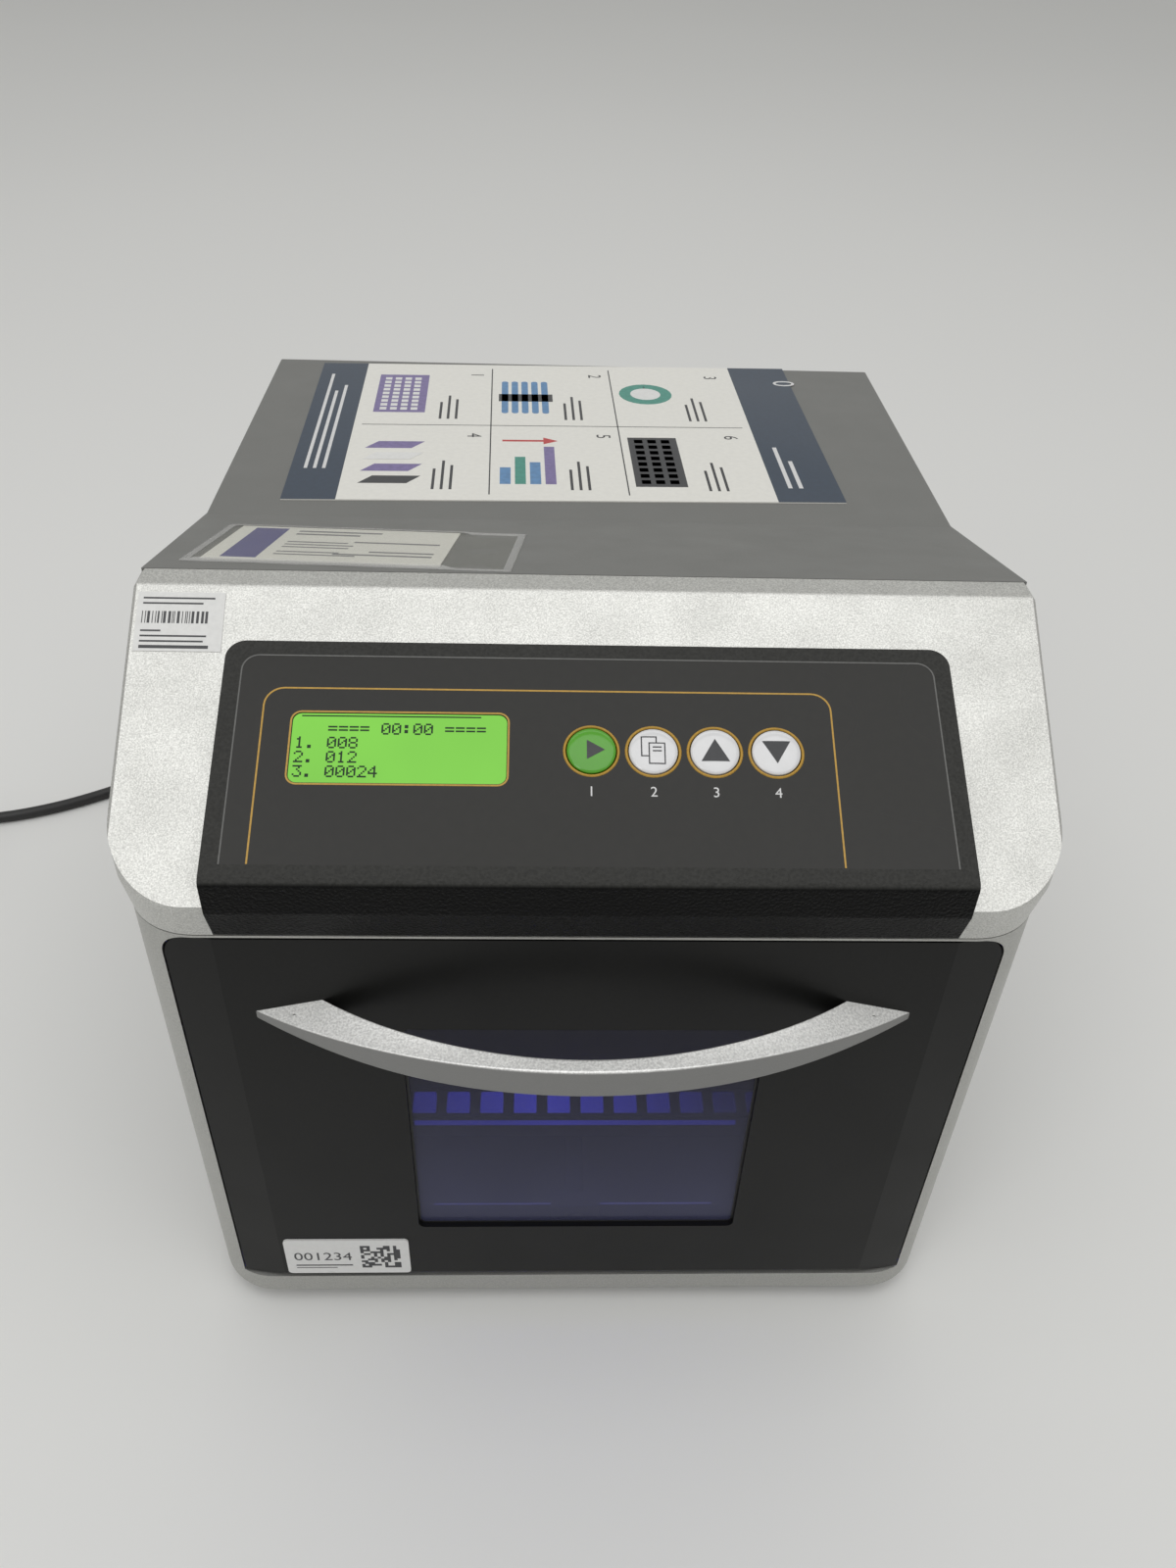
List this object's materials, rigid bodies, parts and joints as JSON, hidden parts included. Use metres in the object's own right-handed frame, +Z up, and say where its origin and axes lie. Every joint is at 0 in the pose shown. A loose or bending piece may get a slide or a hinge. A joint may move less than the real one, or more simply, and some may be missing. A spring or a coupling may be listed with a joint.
{
  "type": "nucleic acid extractor",
  "caption": "Bench nucleic acid extractor with a drop-down windowed door, sloping key console, sliding sample platform and lifting magnet rods.",
  "frame": {"origin": "on the table, under the middle of the instrument without its mains cord", "axes": "+Z up, -Y towards the user, +X to the user's right"},
  "size_m": [0.655, 0.5354, 0.325],
  "materials": {
    "silver_shell": "fine metallic",
    "front_shell": "fine metallic",
    "cover_paint": "matt powder coat",
    "console_plastic": "fine texture",
    "overlay_film": "gloss",
    "lens_clear": "clear",
    "display": "lit",
    "circuit_board": "solder mask",
    "door_paint": "matt",
    "window_glass": "tinted",
    "handle_metal": "satin",
    "steel": "satin",
    "dark_steel": "matt",
    "aluminium": "milled",
    "brass": "turned",
    "rubber": "matt",
    "cable_pvc": "satin",
    "white_plastic": "satin",
    "black_plastic": "satin",
    "lamp_glass": "lit",
    "key_white": "satin",
    "key_green": "satin",
    "card_white": "laminated"
  },
  "bodies": {
    "chassis": {"base_pan": "steel", "cover_screws": "steel", "platform_rails": "steel", "guide_rods": "steel", "serial_port": "steel", "fan_guard": "steel", "rubber_feet": "rubber", "front_frame": "front_shell", "hood": "silver_shell", "top_cover": "cover_paint", "rear_panel": "cover_paint", "console_housing": "console_plastic", "keypad_overlay": "overlay_film", "lcd_lens": "lens_clear", "lcd_module": "display", "keypad_board": "circuit_board", "main_board": "circuit_board", "door_magnets": "black_plastic", "fan_housing": "black_plastic", "power_inlet": "black_plastic", "chamber_liner": "dark_steel", "stepper_motors": "dark_steel", "lamp_tube": "lamp_glass", "lamp_holders": "white_plastic", "lift_frame": "aluminium", "screw_bearing": "aluminium", "power_supply": "aluminium", "cord_connector": "cable_pvc", "power_cord": "cable_pvc", "cord_coil": "cable_pvc", "mains_plug": "cable_pvc", "check_label": "card_white", "name_card": "card_white", "guide_card": "card_white"},
    "door": {"door_panel": "door_paint", "door_window": "window_glass", "door_handle": "handle_metal", "handle_screws": "steel", "hinge_pins": "steel", "strike_plates": "steel", "asset_label": "card_white"},
    "platform": {"elution_block": "aluminium", "platform_tray": "dark_steel", "rail_carriages": "dark_steel", "platform_nut": "brass"},
    "plunger_lift": {"plunger_bar": "aluminium", "plunger_nut": "brass", "sleeve_comb": "white_plastic"},
    "magnet_lift": {"magnet_bar": "aluminium", "magnet_nut": "brass", "magnet_rods": "steel"},
    "platform_screw_body": {"platform_screw": "steel"},
    "plunger_screw_body": {"plunger_screw": "steel"},
    "magnet_screw_body": {"magnet_screw": "steel"},
    "fan": {"fan_rotor": "black_plastic"},
    "run_key": {"run_button": "key_green"},
    "menu_key": {"menu_button": "key_white"},
    "up_key": {"up_button": "key_white"},
    "down_key": {"down_button": "key_white"},
    "rocker": {"power_rocker": "black_plastic"}
  },
  "joints": [
    {"name": "door_hinge", "type": "hinge", "parent": "chassis", "child": "door", "pos_m": [0, -0.1711, 0.0294], "axis": [1, 0, 0], "range_deg": [0, 80]},
    {"name": "platform_slide", "type": "slide", "parent": "chassis", "child": "platform", "axis": [0, -1, 0], "range_m": [0, 0.104]},
    {"name": "platform_screw_spin", "type": "hinge", "parent": "chassis", "child": "platform_screw_body", "pos_m": [0, -0.0761, 0.045], "axis": [0, 1, 0], "range_deg": [-1, 4681]},
    {"name": "plunger_slide", "type": "slide", "parent": "chassis", "child": "plunger_lift", "axis": [0, 0, 1], "range_m": [-0.045, 0]},
    {"name": "plunger_screw_spin", "type": "hinge", "parent": "chassis", "child": "plunger_screw_body", "pos_m": [-0.06, -0.0061, 0.2], "axis": [0, 0, 1], "range_deg": [-2026, 1]},
    {"name": "magnet_slide", "type": "slide", "parent": "chassis", "child": "magnet_lift", "axis": [0, 0, 1], "range_m": [-0.045, 0]},
    {"name": "magnet_screw_spin", "type": "hinge", "parent": "chassis", "child": "magnet_screw_body", "pos_m": [0.06, -0.0061, 0.2], "axis": [0, 0, 1], "range_deg": [-2026, 1]},
    {"name": "fan_spin", "type": "hinge", "parent": "chassis", "child": "fan", "pos_m": [0.08, 0.2027, 0.2], "axis": [0, 1, 0], "continuous": true},
    {"name": "power_rocker_tilt", "type": "hinge", "parent": "chassis", "child": "rocker", "pos_m": [-0.1, 0.2027, 0.0725], "axis": [1, 0, 0], "range_deg": [-20, 0]},
    {"name": "run_press", "type": "slide", "parent": "chassis", "child": "run_key", "axis": [0, 0.4648, -0.8854], "range_m": [0, 0.0005], "stiffness_N_per_m": 1500},
    {"name": "menu_press", "type": "slide", "parent": "chassis", "child": "menu_key", "axis": [0, 0.4648, -0.8854], "range_m": [0, 0.0005], "stiffness_N_per_m": 1500},
    {"name": "up_press", "type": "slide", "parent": "chassis", "child": "up_key", "axis": [0, 0.4648, -0.8854], "range_m": [0, 0.0005], "stiffness_N_per_m": 1500},
    {"name": "down_press", "type": "slide", "parent": "chassis", "child": "down_key", "axis": [0, 0.4648, -0.8854], "range_m": [0, 0.0005], "stiffness_N_per_m": 1500}
  ],
  "couplings": [
    {"joint": "platform_slide", "follows": "door_hinge", "m_per_rad": 0.074475},
    {"joint": "platform_screw_spin", "follows": "door_hinge", "ratio": 58.493},
    {"joint": "plunger_screw_spin", "follows": "plunger_slide", "rad_per_m": 785.4},
    {"joint": "magnet_screw_spin", "follows": "magnet_slide", "rad_per_m": 785.4}
  ]
}
